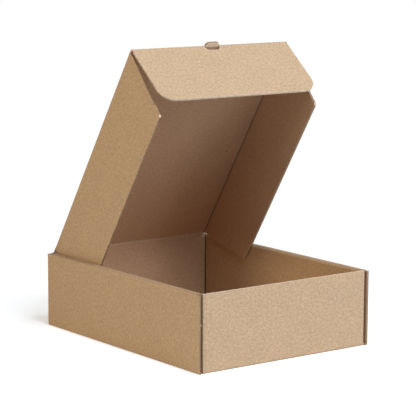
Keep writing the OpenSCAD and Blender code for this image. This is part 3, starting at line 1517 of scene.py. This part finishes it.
@dataclass(frozen=True)
class NickPlaces:
    """Where the photographed box is torn: three places on the front flap and one in a seam."""

    frame: BoxFrame
    board: Board
    on_flap: tuple[float, ...] = (-53.0 * MM, -31.0 * MM, -10.0 * MM)
    flap_width: float = 1.4 * MM
    flap_length: float = 0.9 * MM
    in_seam: tuple[float, float, float] = (-137.3 * MM, -174.75 * MM, 63.0 * MM)
    seam_width: float = 1.1 * MM
    seam_length: float = 1.3 * MM

    def build(self, nicks: TornNicks) -> None:
        """Builds the tufts of both bodies.

        Args:
            nicks: the builder of tufts.
        """
        box = self.frame
        skin = -box.facing * (self.board.thickness - self.board.liner / 2)
        low = box.lid_point(0, box.lid_length, 0) + box.down * box.flap_drop + skin * 0.5
        flap = [
            Nick(low + RIGHT * x, RIGHT, box.down, box.facing, self.flap_width, self.flap_length)
            for x in self.on_flap
        ]
        nicks.build("front_flap", flap, CUT_EDGE_AND_HIGHLIGHT_KRAFT)
        seam = Nick(Vector(self.in_seam), UP, RIGHT, BACK, self.seam_width, self.seam_length)
        nicks.build("tray", [seam], CUT_EDGE_AND_HIGHLIGHT_KRAFT)


@dataclass(frozen=True)
class Camera:
    """The photograph's viewpoint.

    The lens is for a square picture. Lens and sensor are in mm, and angles are in degrees.
    """

    place: tuple[float, float, float] = (-1.52782, -2.03067, 0.58627)
    yaw: float = -37.0428
    pitch: float = 9.1933
    roll: float = 0.3005
    lens: float = 165.386
    sensor: float = 36.0
    clip: tuple[float, float] = (0.05, 50.0)

    def build(self) -> bpy.types.Object:
        """Makes the scene's camera.

        Returns:
            The camera.
        """
        a, e, r = (math.radians(v) for v in (self.yaw, self.pitch, self.roll))
        ahead = Vector((-math.sin(a) * math.cos(e), math.cos(a) * math.cos(e), -math.sin(e)))
        right = Vector((math.cos(a), math.sin(a), 0.0))
        up = right.cross(ahead)
        side = right * math.cos(r) + up * math.sin(r)
        top = up * math.cos(r) - right * math.sin(r)
        data = bpy.data.cameras.new("camera")
        data.sensor_width = self.sensor
        data.sensor_fit = "HORIZONTAL"
        data.lens = self.lens
        data.clip_start, data.clip_end = self.clip
        camera = bpy.data.objects.new("camera", data)
        bpy.context.scene.collection.objects.link(camera)
        turn = Matrix((side, top, -ahead)).transposed()
        camera.matrix_world = Matrix.Translation(self.place) @ turn.to_4x4()
        bpy.context.scene.camera = camera
        return camera


@dataclass(frozen=True)
class Softbox:
    """A square lamp that looks at the box."""

    name: str
    place: tuple[float, float, float]
    size: float
    power: float
    colour: Tint = WHITE

    def build(self, target: Vector) -> None:
        """Hangs the lamp.

        Args:
            target: the point that it looks at.
        """
        data = bpy.data.lights.new(self.name, "AREA")
        data.shape = "SQUARE"
        data.size = self.size
        data.energy = self.power
        data.color = self.colour
        lamp = bpy.data.objects.new(self.name, data)
        bpy.context.scene.collection.objects.link(lamp)
        lamp.location = self.place
        lamp.rotation_mode = "QUATERNION"
        lamp.rotation_quaternion = (target - Vector(self.place)).to_track_quat("-Z", "Y")


@dataclass(frozen=True)
class Studio:
    """Pale floor, white backdrop and soft lamps."""

    sky: Tint = (0.01, 0.01, 0.01)
    floor_tint: Tint = (0.82, 0.81, 0.80)
    floor_lift: float = 0.55
    floor_half: float = 14.0
    floor_drop: float = 0.1 * MM
    clear_floor: tuple[float, float] = (0.30, 0.62)
    target: tuple[float, float, float] = (0.0, 0.0, 0.15)
    lamps: tuple[Softbox, ...] = (
        Softbox("front_lamp", (1.9, -2.5, 1.5), 1.4, 51.0, (0.838, 0.879, 1.0)),
        Softbox("left_lamp", (-3.1, 0.0, 1.2), 1.4, 46.0, (1.0, 0.83, 0.59)),
        Softbox("top_lamp", (0.0, -1.9, 2.7), 1.6, 106.0, (0.77, 0.87, 1.0)),
    )

    def build(self) -> None:
        """Makes the world, the floor and the lamps."""
        scene = bpy.context.scene
        scene.view_settings.view_transform = "Standard"
        self._world(scene)
        self._floor()
        for lamp in self.lamps:
            lamp.build(Vector(self.target))

    def _seen(self, sheet: NodeSheet) -> bpy.types.NodeSocket:
        """Adds a mask that is 1 where the camera looks, also in gloss and through glass.

        Args:
            sheet: the node tree that it goes into.

        Returns:
            The mask.
        """
        path = sheet.add("ShaderNodeLightPath").outputs
        seen = sheet.math("MAXIMUM", path["Is Camera Ray"], path["Is Glossy Ray"])
        return sheet.math("MAXIMUM", seen, path["Is Transmission Ray"])

    def _world(self, scene: bpy.types.Scene) -> None:
        """Makes the world white where it is seen, and a dim even light everywhere else.

        Args:
            scene: the scene that gets the world.
        """
        world = bpy.data.worlds.new("studio")
        world.use_nodes = True
        sheet = NodeSheet(world.node_tree)
        colour = sheet.mix(self._seen(sheet), rgba(self.sky), rgba(WHITE))
        background = world.node_tree.nodes["Background"]
        world.node_tree.links.new(colour, background.inputs["Color"])
        background.inputs["Strength"].default_value = 1.0
        scene.world = world

    def _floor(self) -> None:
        """Lays a wide pale floor just under the box."""
        half = self.floor_half
        mesh = bpy.data.meshes.new("floor")
        turns = ((-1, -1), (1, -1), (1, 1), (-1, 1))
        corners = [(x * half, y * half, -self.floor_drop) for x, y in turns]
        mesh.from_pydata(corners, [], [(0, 1, 2, 3)])
        mesh.materials.append(self._floor_material())
        floor = add_object("floor", mesh)

    def _floor_material(self) -> bpy.types.Material:
        """A pale matt floor, which is seen as plain white away from the box.

        Returns:
            The material.
        """
        material = bpy.data.materials.new("pale_floor")
        material.use_nodes = True
        tree = material.node_tree
        tree.nodes.clear()
        sheet = NodeSheet(tree)
        matt = sheet.add("ShaderNodeBsdfDiffuse", Color=rgba(self.floor_tint)).outputs[0]
        seen = self._seen(sheet)
        lift = sheet.math("MULTIPLY", seen, self.floor_lift)
        glow = sheet.add("ShaderNodeEmission", Color=rgba(WHITE), Strength=lift).outputs[0]
        both = sheet.add("ShaderNodeAddShader", i0=matt, i1=glow).outputs[0]
        white = sheet.add("ShaderNodeEmission", Color=rgba(WHITE), Strength=1.0).outputs[0]
        place = sheet.add("ShaderNodeTexCoord").outputs["Object"]
        length = {"operation": "LENGTH"}
        away = sheet.add("ShaderNodeVectorMath", length, i0=place).outputs["Value"]
        near, far = self.clear_floor
        smooth = {"interpolation_type": "SMOOTHSTEP"}
        clear = sheet.add("ShaderNodeMapRange", smooth, i0=away, i1=near, i2=far, i3=0.0, i4=1.0).outputs[0]
        mask = sheet.math("MULTIPLY", clear, seen)
        mixed = sheet.add("ShaderNodeMixShader", i0=mask, i1=both, i2=white).outputs[0]
        sheet.add("ShaderNodeOutputMaterial", Surface=mixed)
        return material


def main() -> None:
    """Builds the box's pieces in order, then the studio round them."""
    logging.basicConfig(level=logging.INFO, format="%(name)s: %(message)s")
    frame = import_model()
    board = Board()
    box = BoxFrame.from_frame(frame, board)
    shaders = PaperShaders(board)
    Camera().build()
    pieces = [
        TrayBoard("tray", board, box, shaders),
        LidBoard("lid", board, box, shaders),
        FrontFlapBoard("front_flap", board, box, shaders),
        SideFlapBoard("left_flap", board, box, shaders, side=-1.0),
        SideFlapBoard("right_flap", board, box, shaders, side=1.0),
    ]
    for piece in pieces:
        piece.build()
    Creases(box).lay(board, shaders)
    FluteEdges(box, board).build(FluteRibbons(board, shaders))
    NickPlaces(box, board).build(TornNicks(shaders))
    Studio().build()


if __name__ == "__main__":
    main()
